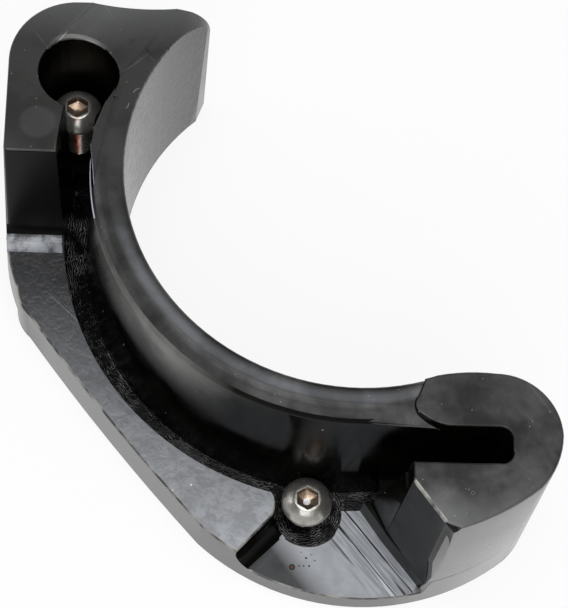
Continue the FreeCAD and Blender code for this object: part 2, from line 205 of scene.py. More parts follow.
def makeScratchGroup():
    # thin lines that run one way, broken up along their length
    group, given, result = newGroup(
        "scratches",
        [("Vector", vectorSocket, None), ("Turn", vectorSocket, (0.0, 0.0, 0.0)), ("Fineness", floatSocket, 900.0),
         ("Length", floatSocket, 0.06), ("Rarity", floatSocket, 0.68)], ["Mask"])
    turned = addNode(group, "ShaderNodeMapping", {"Vector": given["Vector"], "Rotation": given["Turn"]})
    shape = addNode(group, "ShaderNodeCombineXYZ", {"X": given["Length"], "Y": 1.0, "Z": 0.3})
    stretched = calculateVector(group, "MULTIPLY", turned.outputs["Vector"], shape.outputs["Vector"])
    lines = addNode(group, "ShaderNodeTexNoise", {"Vector": stretched, "Scale": given["Fineness"], "Detail": 2.0,
                                                  "Roughness": 0.6})
    above = calculate(group, "SUBTRACT", lines.outputs["Fac"], given["Rarity"])
    sharpness = 14.0
    feed(group, result, {"Mask": calculate(group, "MULTIPLY", above, sharpness, clamped=True)})
    return group


def makeDustGroup():
    # small round specks, only in the cells that rarity lets through
    group, given, result = newGroup(
        "dustSpecks",
        [("Vector", vectorSocket, None), ("Scale", floatSocket, 500.0), ("Size", floatSocket, 0.12),
         ("Rarity", floatSocket, 0.62)], ["Mask"])
    cells = addNode(group, "ShaderNodeTexVoronoi", {"Vector": given["Vector"], "Scale": given["Scale"],
                                                    "Randomness": 1.0})
    near = calculate(group, "LESS_THAN", cells.outputs["Distance"], given["Size"])
    shades = addNode(group, "ShaderNodeSeparateColor", {"Color": cells.outputs["Color"]})
    picked = calculate(group, "GREATER_THAN", shades.outputs["Red"], given["Rarity"])
    feed(group, result, {"Mask": calculate(group, "MULTIPLY", near, picked)})
    return group


def makeMottleGroup():
    # soft cloudy change between two levels
    group, given, result = newGroup(
        "mottle",
        [("Vector", vectorSocket, None), ("Scale", floatSocket, 60.0), ("Detail", floatSocket, 4.0),
         ("Low", floatSocket, 0.35), ("High", floatSocket, 0.65)], ["Value"])
    cloud = addNode(group, "ShaderNodeTexNoise", {"Vector": given["Vector"], "Scale": given["Scale"],
                                                  "Detail": given["Detail"], "Roughness": 0.6})
    value = spread(group, cloud.outputs["Fac"], (given["Low"], given["High"]), kind="SMOOTHSTEP")
    feed(group, result, {"Value": value})
    return group


def makeDiscGroup():
    # a round mark, such as an ejector pin leaves, and the ring along its rim
    group, given, result = newGroup(
        "discMark",
        [("Vector", vectorSocket, None), ("Centre", vectorSocket, (0.0, 0.0, 0.0)), ("Radius", floatSocket, 0.004),
         ("Softness", floatSocket, 0.0003)], ["Mask", "Ring"])
    gap = calculateVector(group, "DISTANCE", given["Vector"], given["Centre"])
    outer = calculate(group, "ADD", given["Radius"], given["Softness"])
    inner = calculate(group, "SUBTRACT", given["Radius"], given["Softness"])
    fade = spread(group, gap, (inner, outer), (1.0, 0.0), "SMOOTHSTEP")
    offRim = calculate(group, "ABSOLUTE", calculate(group, "SUBTRACT", gap, given["Radius"]))
    feed(group, result, {"Mask": fade, "Ring": calculate(group, "LESS_THAN", offRim, given["Softness"])})
    return group


scratches = makeScratchGroup()
dustSpecks = makeDustGroup()
mottle = makeMottleGroup()
discMark = makeDiscGroup()
print("shared effects ready")


def discAt(tree, where, centre, radius, softness, output="Mask"):
    return useGroup(tree, discMark, where, output, Centre=centre, Radius=radius * mm, Softness=softness * mm)


plastic = {
    "ior": 1.52,
}


def newMaterial(name):
    material = bpy.data.materials.new(name)
    material.use_nodes = True
    return material, material.node_tree, material.node_tree.nodes["Principled BSDF"]


def newPlastic(name):
    material, tree, shader = newMaterial(name)
    feed(tree, shader, {"IOR": plastic["ior"]})
    return material, tree, shader, objectCoordinates(tree)


# the worn satin tops of the block, the rib and the lobe
topLook = {
    "dark": (0.001, 0.001, 0.001),
    "worn": (0.056, 0.056, 0.056),
    "scratch": (0.13, 0.13, 0.132),
    "scratchStrength": 0.35,
    "grease": (0.001, 0.001, 0.001),
    "greaseStrength": 0.7,
    # the dust colour also paints the highlights along the ridge and the hole's rim
    "dust": (0.40, 0.40, 0.39),
    "dustStrength": 0.6,
    "wear": (0.030, 0.030, 0.029),
    "wearAlong": (-60.0, 20.0),
    "wearStrength": 0.65,
    # painted light: lighter towards the lobe's front and the rib's back end
    "paintedEndLight": (0.125, 0.127, 0.131),
    "lobeLightAlong": (-67.0, -78.0),
    "tipLightAlong": (26.0, 44.0),
    # a painted highlight on the rib's inner shoulder, between two radii and below the flat top
    "paintedHighlight": (0.125, 0.130, 0.142),
    "bandInner": (47.9, 49.0),
    "bandOuter": (50.9, 49.8),
    "bandSouth": (-6.0, -22.0),
    "bandTop": (47.0, 46.6),
    "bandClouds": (0.45, 1.0),
    # the two ejector marks
    "marks": ((-64.8, 8.1, 47.0), (16.8, -71.5, 47.0)),
    "markRadius": 3.6,
    "markSoftness": 0.5,
    "markStrength": 0.16,
    # parts of rings: centre, radius and half width, then centre, reach and softness of the part, and its strength
    "fibres": (
        ((-44.2, 15.6, 46.3), 1.5, 0.05, (-45.3, 16.9, 46.3), 0.9, 0.1, 0.6),
        ((-47.9, 13.5, 46.3), 1.4, 0.05, (-46.6, 12.9, 46.3), 0.7, 0.1, 0.6),
    ),
    # painted highlights in the dust colour: a faint line along the ridge on the block's top and a ring along the access
    # hole's rim
    "paintedHighlightArcs": (
        ((-65.1, 45.7, 47.0), 30.1, 0.13, (-43.0, 26.5, 47.0), 9.0, 3.0, 0.10),
        ((-56.9, 20.2, 47.0), 8.9, 0.40, (-56.5, 29.5, 47.0), 5.5, 3.0, 0.32),
    ),
    "pits": ((21.35, -68.4, 47.0, 0.30), (21.05, -71.4, 47.0, 0.24)),
    "pitSoftness": 0.1,
    "pitRim": 0.15,
    "cloudHeight": 1.5,
    "rough": (0.42, 0.24),
    "specular": 0.28,
}


# lint and painted highlights, both in the dust colour
def arcMasks(tree, where, arcs, *others):
    for heart, radius, wide, middle, reached, softness, strength in arcs:
        ring = discAt(tree, where, place(*heart), radius, wide, "Ring")
        part = discAt(tree, where, place(*middle), reached, softness)
        yield times(tree, combine(tree, "MULTIPLY", ring, part, *others), strength), "dust"


def makeTopMaterial():
    material, tree, shader, where = newPlastic("wornTop")
    axes = axesOf(tree, where)
    clouds = useGroup(tree, mottle, where, Scale=75.0, Detail=6.0, Low=0.36, High=0.66)
    blots = useGroup(tree, mottle, where, Scale=130.0, Detail=4.0, Low=0.60, High=0.70)
    lines = useGroup(tree, scratches, where, Turn=(0.0, 0.0, 0.9), Fineness=700.0, Rarity=0.70)
    cross = useGroup(tree, scratches, where, Turn=(0.0, 0.0, -0.5), Fineness=500.0, Rarity=0.72)
    specks = useGroup(tree, dustSpecks, where, Scale=1700.0, Size=0.17, Rarity=0.975)
    scratched = combine(tree, "MAXIMUM", lines, cross)
    marks = [discAt(tree, where, place(*spot), topLook["markRadius"], topLook["markSoftness"])
             for spot in topLook["marks"]]
    # where the painted light falls, at the lobe's front and the rib's back end
    ends = [spread(tree, axes["Y"], alongY(topLook[name])) for name in ("lobeLightAlong", "tipLightAlong")]
    fromAxle = calculateVector(tree, "SUBTRACT", where, place(0.0, 0.0))
    reach = calculateVector(tree, "LENGTH", calculateVector(tree, "MULTIPLY", fromAxle, (1.0, 1.0, 0.0)))
    # the painted highlight on the rib's shoulder, broken up by clouds
    paintedHighlight = combine(tree, "MULTIPLY", between(tree, clouds, topLook["bandClouds"]),
                   spread(tree, reach, inMetres(topLook["bandInner"])),
                   spread(tree, reach, inMetres(topLook["bandOuter"])),
                   spread(tree, axes["Y"], alongY(topLook["bandSouth"])),
                   spread(tree, axes["Z"], inMetres(topLook["bandTop"])))
    wearing = times(tree, spread(tree, axes["Y"], alongY(topLook["wearAlong"])), topLook["wearStrength"])
    colour = paintOver(tree, topLook, topLook["dark"],
                       (clouds, "worn"),
                       (wearing, "wear"),
                       (times(tree, blots, topLook["greaseStrength"]), "grease"),
                       (combine(tree, "MAXIMUM", *ends), "paintedEndLight"),
                       (paintedHighlight, "paintedHighlight"),
                       (times(tree, combine(tree, "ADD", *marks), topLook["markStrength"]), "scratch"),
                       (times(tree, scratched, topLook["scratchStrength"]), "scratch"),
                       (times(tree, specks, topLook["dustStrength"]), "dust"),
                       *arcMasks(tree, where, topLook["fibres"]),
                       *arcMasks(tree, where, topLook["paintedHighlightArcs"], clouds))
    for x, y, z, radius in topLook["pits"]:
        pit, rim = [discAt(tree, where, place(x, y, z), radius, topLook["pitSoftness"], name)
                    for name in ("Mask", "Ring")]
        colour = paintOver(tree, topLook, colour, (pit, "grease"), (times(tree, rim, topLook["pitRim"]), "dust"))
    feed(tree, shader, {"Base Color": colour, "Roughness": between(tree, clouds, topLook["rough"]),
                        "Specular IOR Level": topLook["specular"]})
    height = combine(tree, "ADD", scratched, times(tree, clouds, topLook["cloudHeight"]))
    setBump(tree, shader, height, strength=0.25, distance=0.06)
    return material


# the shelf beside the channel, rough and mottled, with painted light towards the front
shelfLook = {
    "dark": (0.004, 0.004, 0.004),
    "light": (0.026, 0.027, 0.030),
    "broadShare": 0.35,
    "fineShare": 0.65,
    # haze is the colour of the painted light towards the front
    "haze": (0.30, 0.315, 0.34),
    "paintedLightAlong": (-12.0, -68.0),
    "paintedLightClouds": (0.65, 1.0),
    "scratch": (0.20, 0.20, 0.21),
    "scratchStrength": 0.5,
    "scratchHeight": 0.4,
    "pit": (0.55, 0.55, 0.54),
    "rough": (0.42, 0.22),
}


def makeShelfMaterial():
    material, tree, shader, where = newPlastic("mottledShelf")
    broad = useGroup(tree, mottle, where, Scale=45.0, Detail=2.0, Low=0.35, High=0.62)
    fine = useGroup(tree, mottle, where, Scale=520.0, Detail=8.0, Low=0.36, High=0.62)
    lines = useGroup(tree, scratches, where, Turn=(0.0, 0.0, 0.75), Fineness=800.0, Rarity=0.66)
    specks = useGroup(tree, dustSpecks, where, Scale=520.0, Size=0.12, Rarity=0.93)
    level = combine(tree, "ADD", times(tree, broad, shelfLook["broadShare"]), times(tree, fine, shelfLook["fineShare"]))
    front = spread(tree, axesOf(tree, where)["Y"], alongY(shelfLook["paintedLightAlong"]))
    paintedLight = combine(tree, "MULTIPLY", front, between(tree, level, shelfLook["paintedLightClouds"]))
    colour = paintOver(tree, shelfLook, shelfLook["dark"], (level, "light"), (paintedLight, "haze"),
                       (times(tree, lines, shelfLook["scratchStrength"]), "scratch"), (specks, "pit"))
    feed(tree, shader, {"Base Color": colour, "Roughness": between(tree, level, shelfLook["rough"])})
    height = combine(tree, "ADD", fine, times(tree, lines, shelfLook["scratchHeight"]))
    setBump(tree, shader, height, strength=0.35, distance=0.10)
    return material


# the floor of the low pocket, scraped beside the crease at the web's foot and dark beside the ramp
pocketLook = {
    # dark and light are the floor's scraped tone, lightened as a painted reflection
    "dark": (0.25, 0.262, 0.282),
    "light": (0.40, 0.417, 0.446),
    "groove": (0.004, 0.004, 0.004),
    "pale": (0.52, 0.54, 0.58),
    "brown": (0.11, 0.034, 0.016),
    "shade": (0.012, 0.012, 0.012),
    "crease": (3.77, -60.09),
    "acrossCrease": (-0.781, -0.624, 0.0),
    "scraped": (10.0, 6.5),
    "scrapeTurn": 0.896,
    "shaded": (14.0, 19.5),
    "shadeClouds": (1.0, 0.9),
    "dots": ((-7.0, -70.1, 0.22), (-8.5, -71.8, 0.18), (-7.5, -71.8, 0.17), (-6.4, -71.8, 0.21), (-5.2, -70.6, 0.15),
             (-8.0, -68.9, 0.12), (-6.0, -69.4, 0.13)),
    "dotSoftness": 0.04,
    "pit": (-9.95, -72.1, 0.50),
    "pitSoftness": 0.14,
    "specular": 0.12,
    "roughness": 0.34,
}


def makePocketMaterial():
    material, tree, shader, where = newPlastic("scrapedPocket")
    along = (0.0, 0.0, pocketLook["scrapeTurn"])
    floorHeight = moulding["pocketHeight"]
    broad = useGroup(tree, mottle, where, Scale=70.0, Detail=5.0, Low=0.3, High=0.65)
    fine = useGroup(tree, scratches, where, Turn=along, Fineness=1800.0, Length=0.05, Rarity=0.50)
    deep = useGroup(tree, scratches, where, Turn=along, Fineness=950.0, Length=0.035, Rarity=0.58)
    bright = useGroup(tree, scratches, where, Turn=along, Fineness=1300.0, Length=0.03, Rarity=0.62)
    fromCrease = calculateVector(tree, "SUBTRACT", where, place(*pocketLook["crease"]))
    away = calculateVector(tree, "DOT_PRODUCT", fromCrease, pocketLook["acrossCrease"])
    beside = spread(tree, away, inMetres(pocketLook["scraped"]))
    shaded = combine(tree, "MULTIPLY", spread(tree, away, inMetres(pocketLook["shaded"])),
                     between(tree, broad, pocketLook["shadeClouds"]))
    coats = [(broad, "light")]
    coats += [(combine(tree, "MULTIPLY", lines, beside), paint)
              for lines, paint in ((fine, "dark"), (bright, "pale"), (deep, "groove"))]
    coats.append((shaded, "shade"))
    coats += [(discAt(tree, where, place(x, y, floorHeight), radius, pocketLook["dotSoftness"]), "groove")
              for x, y, radius in pocketLook["dots"]]
    x, y, radius = pocketLook["pit"]
    coats += [(discAt(tree, where, place(x, y, floorHeight), radius, pocketLook["pitSoftness"], name), paint)
              for name, paint in (("Mask", "brown"), ("Ring", "groove"))]
    feed(tree, shader, {"Base Color": paintOver(tree, pocketLook, pocketLook["dark"], *coats),
                        "Roughness": pocketLook["roughness"], "Specular IOR Level": pocketLook["specular"]})
    relief = times(tree, combine(tree, "MULTIPLY", deep, beside), -1.0)
    setBump(tree, shader, relief, strength=0.5, distance=0.08)
    return material


# the machined floor of the channel and of the screw's seat, with rings about the seat or about the sprocket's axis
floorLook = {
    "dark": (0.0008, 0.0008, 0.0008),
    "light": (0.15, 0.15, 0.155),
    "seat": (-7.4, -60.0),
    "seatReach": 9.5,
    "ringScale": 620.0,
    "ringWobble": 24.0,
    "ringContrast": (-4.0, 1.6),
    "specular": 0.14,
    "roughness": 0.20,
}


def makeMachinedMaterial():
    material, tree, shader, where = newPlastic("machinedFloor")
    fromSeat = calculateVector(tree, "SUBTRACT", where, place(*floorLook["seat"]))
    fromAxle = calculateVector(tree, "SUBTRACT", where, place(0.0, 0.0))
    onSeat = calculate(tree, "LESS_THAN", calculateVector(tree, "LENGTH", fromSeat), floorLook["seatReach"] * mm)
    # inputs 4 and 5 and output 1 of this node are its vectors
    centred = addNode(tree, "ShaderNodeMix", {"Factor": onSeat, 4: fromAxle, 5: fromSeat}, data_type="VECTOR")
    rings = addNode(tree, "ShaderNodeTexWave", {"Vector": centred.outputs[1], "Scale": floorLook["ringScale"],
                                                "Distortion": floorLook["ringWobble"], "Detail": 4.0,
                                                "Detail Scale": 0.22, "Detail Roughness": 0.8},
                    wave_type="RINGS", rings_direction="Z").outputs["Fac"]
    broad = useGroup(tree, mottle, where, Scale=300.0, Detail=3.0, Low=0.47, High=0.66)
    level = calculate(tree, "MULTIPLY", between(tree, rings, floorLook["ringContrast"]), broad, clamped=True)
    feed(tree, shader, {"Base Color": mixColours(tree, level, floorLook["dark"], floorLook["light"]),
                        "Roughness": floorLook["roughness"], "Specular IOR Level": floorLook["specular"]})
    setBump(tree, shader, rings, strength=0.35, distance=0.08)
    return material


# the glossy walls of the channel, the slot and the access hole, with a painted reflection high up on the rib's outer
# wall
glossLook = {
    "dark": (0.0005, 0.0005, 0.0004),
    "haze": (0.0022, 0.0022, 0.0016),
    "paintedReflection": (0.15, 0.15, 0.144),
    "reflectionUp": (28.0, 41.0),
    "reflectionWest": (-24.0, -38.0),
    "reflectionSouth": (-8.0, -30.0),
    "reflectionClouds": (0.6, 1.0),
    "dust": (0.24, 0.24, 0.23),
    "specular": 0.09,
    "rough": (0.12, 0.24),
}


def makeGlossMaterial():
    material, tree, shader, where = newPlastic("glossyWall")
    axes = axesOf(tree, where)
    clouds = useGroup(tree, mottle, where, Scale=90.0, Low=0.35, High=0.7)
    specks = useGroup(tree, dustSpecks, where, Scale=430.0, Size=0.10, Rarity=0.95)
    # painted reflection high on the rib's outer wall, towards the west and the front
    paintedReflection = combine(tree, "MULTIPLY", spread(tree, axes["Z"], inMetres(glossLook["reflectionUp"])),
                    spread(tree, axes["X"], alongX(glossLook["reflectionWest"])),
                    spread(tree, axes["Y"], alongY(glossLook["reflectionSouth"])),
                    between(tree, clouds, glossLook["reflectionClouds"]))
    colour = paintOver(tree, glossLook, glossLook["dark"], (clouds, "haze"), (paintedReflection, "paintedReflection"), (specks, "dust"))
    feed(tree, shader, {"Base Color": colour, "Roughness": between(tree, clouds, glossLook["rough"]),
                        "Specular IOR Level": glossLook["specular"]})
    return material


# the smooth outer walls, hazy from handling, with a painted reflection low down on the lobe
outerLook = {
    "dark": (0.030, 0.030, 0.030),
    "haze": (0.085, 0.085, 0.084),
    # pale paints the reflection low down on the lobe
    "pale": (0.24, 0.24, 0.238),
    "reflectionEast": (10.0, 34.0),
    "reflectionDown": (46.0, 12.0),
    "rub": (0.30, 0.30, 0.30),
    "scratchStrength": 0.3,
    "speckStrength": 0.5,
    "rough": (0.18, 0.30),
}


def makeOuterMaterial():
    material, tree, shader, where = newPlastic("outerWall")
    axes = axesOf(tree, where)
    clouds = useGroup(tree, mottle, where, Scale=38.0, Detail=3.0, Low=0.25, High=0.75)
    lines = useGroup(tree, scratches, where, Turn=(0.4, 0.9, 0.2), Fineness=650.0, Rarity=0.74)
    specks = useGroup(tree, dustSpecks, where, Scale=420.0, Size=0.12, Rarity=0.94)
    # painted reflection, stronger to the east and low down
    pale = combine(tree, "MULTIPLY", spread(tree, axes["X"], alongX(outerLook["reflectionEast"])),
                   spread(tree, axes["Z"], inMetres(outerLook["reflectionDown"])))
    colour = paintOver(tree, outerLook, outerLook["dark"], (clouds, "haze"), (pale, "pale"),
                       (times(tree, lines, outerLook["scratchStrength"]), "rub"),
                       (times(tree, specks, outerLook["speckStrength"]), "rub"))
    feed(tree, shader, {"Base Color": colour, "Roughness": between(tree, clouds, outerLook["rough"])})
    return material


# the dull walls deep in the access hole and the slot
deepLook = {
    "dark": (0.0012, 0.0012, 0.0008),
    "specular": 0.07,
    "roughness": 0.30,
}


def makeDeepMaterial():
    material, tree, shader, where = newPlastic("deepWall")
    feed(tree, shader, {"Base Color": deepLook["dark"], "Specular IOR Level": deepLook["specular"],
                        "Roughness": deepLook["roughness"]})
    return material


# the inner wall beside the sprocket, brushed at a slant
innerLook = {
    "dark": (0.012, 0.012, 0.012),
    "haze": (0.095, 0.095, 0.095),
    "cloudShare": 0.35,
    "strokeShare": 0.55,
    "rough": (0.20, 0.34),
}


def makeInnerMaterial():
    material, tree, shader, where = newPlastic("innerWall")
    clouds = useGroup(tree, mottle, where, Scale=38.0, Detail=3.0, Low=0.25, High=0.75)
    strokes = useGroup(tree, scratches, where, Turn=(0.9, 0.0, 0.6), Fineness=1300.0, Length=0.05, Rarity=0.50)
    level = combine(tree, "ADD", times(tree, clouds, innerLook["cloudShare"]),
                    times(tree, strokes, innerLook["strokeShare"]))
    feed(tree, shader, {"Base Color": mixColours(tree, level, innerLook["dark"], innerLook["haze"]),
                        "Roughness": between(tree, level, innerLook["rough"])})
    setBump(tree, shader, strokes, strength=0.3, distance=0.03)
    return material


# edges that handling has rubbed pale, their pale partly a painted highlight
edgeLook = {
    "dark": (0.030, 0.030, 0.030),
    "pale": (0.24, 0.235, 0.215),
    "roughness": 0.30,
}


def makeEdgeMaterial():
    material, tree, shader, where = newPlastic("wornHighlightedEdge")
    patches = useGroup(tree, mottle, where, Scale=230.0, Detail=5.0, Low=0.42, High=0.62)
    feed(tree, shader, {"Base Color": mixColours(tree, patches, edgeLook["dark"], edgeLook["pale"]),
                        "Roughness": edgeLook["roughness"]})
    return material


# a painted highlight along the rib's outer edge
glintLook = {
    "colour": (0.42, 0.41, 0.50),
    "roughness": 0.15,
}


def makeGlintMaterial():
    material, tree, shader, where = newPlastic("paintedEdgeHighlight")
    feed(tree, shader, {"Base Color": glintLook["colour"], "Roughness": glintLook["roughness"]})
    return material


# the hollow at the foot of the block's step, painted with a highlight, with a dark line along it
hollowLook = {
    "dark": (0.03, 0.032, 0.035),
    # light is the painted highlight
    "light": (0.26, 0.275, 0.30),
    "line": (0.004, 0.004, 0.004),
    "lineAt": -8.3,
    "lineWidth": 0.16,
    "lineWobble": 0.25,
    "roughness": 0.25,
}


def makeHollowMaterial():
    material, tree, shader, where = newPlastic("stepHollow")
    clouds = useGroup(tree, mottle, where, Scale=230.0, Detail=5.0, Low=0.38, High=0.60)
    wobble = between(tree, clouds, inMetres((-hollowLook["lineWobble"], hollowLook["lineWobble"])))
    bent = combine(tree, "ADD", axesOf(tree, where)["Y"], wobble)
    line = calculate(tree, "COMPARE", bent, place(0.0, hollowLook["lineAt"]).y, hollowLook["lineWidth"] * mm)
    colour = paintOver(tree, hollowLook, hollowLook["dark"], (clouds, "light"), (line, "line"))
    feed(tree, shader, {"Base Color": colour, "Roughness": hollowLook["roughness"]})
    return material


# the moulding's finishes, in the order of its material slots
finishes = {
    "top": makeTopMaterial,
    "shelf": makeShelfMaterial,
    "pocket": makePocketMaterial,
    "floor": makeMachinedMaterial,
    "gloss": makeGlossMaterial,
    "outer": makeOuterMaterial,
    "inner": makeInnerMaterial,
    "edge": makeEdgeMaterial,
    "deep": makeDeepMaterial,
    "glint": makeGlintMaterial,
    "hollow": makeHollowMaterial,
}
slotOf = {name: number for number, name in enumerate(finishes)}


# the moulding
moulding = {
    "mergeGap": 0.005,
    "flatAngle": 0.3,
    "sharpAngle": 26.0,
    "nearSurface": 0.02,
    "topHeight": 40.0,
    "ribHeight": 46.2,
    "shelfHeight": 12.5,
    "pocketHeight": 6.0,
    "ledgeReach": 58.0,
    "outerReach": 61.5,
    "innerReach": 47.3,
}

# where the finishes and the roundings change; a box is its west, east, front and back sides
places = {
    "upright": 0.7,
    "outward": 0.5,
    "underRim": 46.0,
    "holeCentre": (-56.9, 20.2),
    "holeReach": 8.6,
    "slotBox": (9.0, 29.8, -62.4, -54.6),
    "stepFaceBox": (-90.0, -58.0, -6.0, 1.5),
    "shelfEast": 3.0,
    "backFrom": 30.0,
    "lobeFrom": 17.0,
    "lip": (16.3, -77.2),
    "lipReach": 2.5,
    "stepCornerBox": (-90.0, -65.0, -5.4, 1.6),
    "rimHeight": 46.7,
    "holeRimReach": 9.0,
    "holeRimFront": -35.0,
    "stepRimBoxes": ((-90.0, -55.0, -90.0, 0.0), (8.3, 9.3, -90.0, 90.0), (-90.0, 17.0, -90.0, -66.0)),
    "glintBox": (-90.0, -48.0, -13.0, 7.0),
    "glintReach": 56.0,
    "footHeight": 0.5,
    "pocketTop": 6.2,
    "pocketReach": 64.5,
}

stepFoot = {
    "radius": 4.5,
    "heart": -5.2,
    "sweep": 86.0,
    "steps": 12,
    "sunk": 0.5,
    "left": -72.1,
    "leftBendFrom": -2.0,
    "leftBend": 80.0,
    "channelReach": 60.3,
    "highlightRise": 1.6,
}

# roundings of the moulding's edges: name, width, steps and the finish that the rounding gets, if its own
roundings = (
    ("lipCorner", 2.0, 5, None),
    ("stepCorners", 0.9, 4, None),
    ("topRim", 0.5, 3, None),
    ("holeRim", 0.35, 3, "edge"),
    ("stepRim", 0.6, 3, "edge"),
    ("ribRim", 0.9, 4, None),
    ("ribEdges", 0.4, 3, None),
    ("ribGlint", 0.4, 3, "glint"),
    ("shelfRim", 0.4, 2, "edge"),
    ("foot", 0.3, 2, None),
    ("pocketRim", 0.3, 2, "edge"),
)


def inBox(point, box):
    west, east, front, back = box
    return west < point.x < east and front < point.y < back


def near(point, spot, reach):
    return math.hypot(point.x - spot[0], point.y - spot[1]) < reach


def atHeight(point, name, slack):
    return abs(point.z - moulding[name]) < slack


def finishOf(face):
    centre = fromAxis(face.calc_center_median())
    reach = math.hypot(centre.x, centre.y)
    upright = places["upright"]
    onStepFace = inBox(centre, places["stepFaceBox"]) and abs(face.normal.y) > upright
    inDeep = near(centre, places["holeCentre"], places["holeReach"]) or inBox(centre, places["slotBox"])
    if (inDeep or onStepFace) and centre.z < places["underRim"]:
        return "deep"
    if face.normal.z > upright:
        if centre.z > moulding["topHeight"]:
            return "top"
        if atHeight(centre, "shelfHeight", slack=0.6):
            farthest = max(fromAxis(vert.co).xy.length for vert in face.verts)
            return "shelf" if centre.x < places["shelfEast"] and farthest > moulding["ledgeReach"] else "gloss"
        if atHeight(centre, "pocketHeight", slack=0.3):
            return "pocket"
        return "floor" if centre.z < moulding["pocketHeight"] else "gloss"
    if face.normal.z < -upright:
        return "outer"
    outward = Vector((centre.x, centre.y, 0.0)).normalized().dot(face.normal)
    if reach < moulding["innerReach"] and outward < 0:
        return "inner"
    beyond = centre.y > places["backFrom"] or centre.x > places["lobeFrom"]
    return "outer" if beyond or outward > places["outward"] and reach > moulding["outerReach"] else "gloss"


def roundingOf(edge):
    if not edge.is_convex:
        return None
    ends = [fromAxis(vert.co) for vert in edge.verts]
    middle = (ends[0] + ends[1]) / 2
    reach = math.hypot(middle.x, middle.y)
    if abs(ends[0].z - ends[1].z) >= (ends[0] - ends[1]).length / 2:
        if middle.z < places["pocketTop"]:
            return None
        if near(middle, places["lip"], places["lipReach"]):
            return "lipCorner"
        onStep = inBox(middle, places["stepCornerBox"]) and middle.z > moulding["shelfHeight"]
        return "stepCorners" if onStep else None
    if middle.z > places["rimHeight"]:
        if any(inBox(middle, box) for box in places["stepRimBoxes"]):
            return "stepRim"
        byHole = near(middle, places["holeCentre"], places["holeRimReach"])
        return "holeRim" if byHole and middle.x + middle.y > places["holeRimFront"] else "topRim"
    if atHeight(middle, "ribHeight", slack=0.05) and reach < moulding["innerReach"]:
        return "ribRim"
    if middle.z > moulding["topHeight"]:
        return "ribGlint" if inBox(middle, places["glintBox"]) and reach < places["glintReach"] else "ribEdges"
    if atHeight(middle, "shelfHeight", slack=0.1):
        return "shelfRim" if reach > moulding["outerReach"] and middle.x < 0.0 else None
    if middle.z < places["footHeight"]:
        return "foot"
    onPocket = atHeight(middle, "pocketHeight", slack=0.2) and reach > places["pocketReach"]
    return "pocketRim" if onPocket else None


def roundEdges(bm, original):
    rounded = bm.faces.layers.int.new("rounded")
    for name, width, steps, finish in roundings:
        bm.normal_update()
        picked = [edge for edge in bm.edges
                  if edge.calc_face_angle(0.0) > math.radians(moulding["sharpAngle"]) and roundingOf(edge) == name]
        made = bmesh.ops.bevel(bm, geom=picked, offset=width * mm, offset_type="OFFSET", affect="EDGES",
                               segments=steps, profile=0.5, material=-1, clamp_overlap=False)
        for face in made["faces"]:
            face[rounded] = 1
            if finish:
                face.material_index = slotOf[finish]
        # a corner that the bevel threw off the solid goes back onto it
        for vert in made["verts"]:
            spot, normal = original.find_nearest(vert.co)[:2]
            gap = vert.co - spot
            if gap.dot(normal) > moulding["nearSurface"] * mm or gap.length > width * mm:
                vert.co = spot


def addStepFoot(bm):
    # the round hollow where the block's step meets the shelf, as a closed shell of its own
    radius, heart, floor = stepFoot["radius"], stepFoot["heart"], moulding["shelfHeight"]
    behind, under = heart + 2 * radius, floor - stepFoot["sunk"]
    profile = [(behind, under), (heart, under)]
    for step in range(stepFoot["steps"] + 1):
        turn = math.radians(-90.0 + stepFoot["sweep"] * step / stepFoot["steps"])
        profile.append((heart + radius * math.cos(turn), floor + radius + radius * math.sin(turn)))
    profile.append((behind, profile[-1][1]))
    rows = []
    for y, z in profile:
        left = stepFoot["left"] + max(0.0, stepFoot["leftBendFrom"] - y)**2 / stepFoot["leftBend"]
        right = -math.sqrt(stepFoot["channelReach"]**2 - y**2)
        rows.append([bm.verts.new(place(x, y, z)) for x in (left, right)])
    faces = [bm.faces.new((low[0], low[1], high[1], high[0])) for low, high in zip(rows, rows[1:] + rows[:1])]
    faces += [bm.faces.new([row[side] for row in rows]) for side in (0, 1)]
    bmesh.ops.recalc_face_normals(bm, faces=faces)
    for face in faces:
        # the lower faces of the hollow get the painted highlight
        bright = fromAxis(face.calc_center_median()).z < floor + stepFoot["highlightRise"]
        face.material_index = slotOf["hollow" if bright else "deep"]


def exactNormals(mesh, source, rounded):
    # flat faces and true curves keep the normals of the solid, and only the roundings blend between them
    corners = {}
    for loop in source.loops:
        corners.setdefault(loop.vertex_index, []).append(source.corner_normals[loop.index].vector.copy())
    tree = KDTree(len(source.vertices))
    for vertex in source.vertices:
        tree.insert(vertex.co, vertex.index)
    tree.balance()
    likeness = math.cos(math.radians(moulding["sharpAngle"]))
    chosen, mean = {}, {}
    for polygon in mesh.polygons:
        for index in polygon.loop_indices:
            vertex = mesh.loops[index].vertex_index
            if rounded[polygon.index]:
                mean[vertex] = mean.get(vertex, Vector()) + polygon.normal * polygon.area
                continue
            spot, best = mesh.vertices[vertex].co, polygon.normal
            for found in tree.find_range(spot, moulding["nearSurface"] * mm) or [tree.find(spot)]:
                for normal in corners[found[1]]:
                    least = best.dot(polygon.normal) if best != polygon.normal else likeness
                    if normal.dot(polygon.normal) > max(least, likeness):
                        best = normal
            chosen.setdefault(vertex, []).append((index, best))
    normals = [Vector() for loop in mesh.loops]
    for polygon in mesh.polygons:
        for index in polygon.loop_indices:
            vertex = mesh.loops[index].vertex_index
            if rounded[polygon.index]:
                options = [normal for other, normal in chosen.get(vertex, []) if normal.dot(polygon.normal) > 0.5]
                normals[index] = max(options, key=polygon.normal.dot) if options else mean[vertex].normalized()
            else:
                normals[index] = next(normal for other, normal in chosen[vertex] if other == index)
    mesh.normals_split_custom_set(normals)


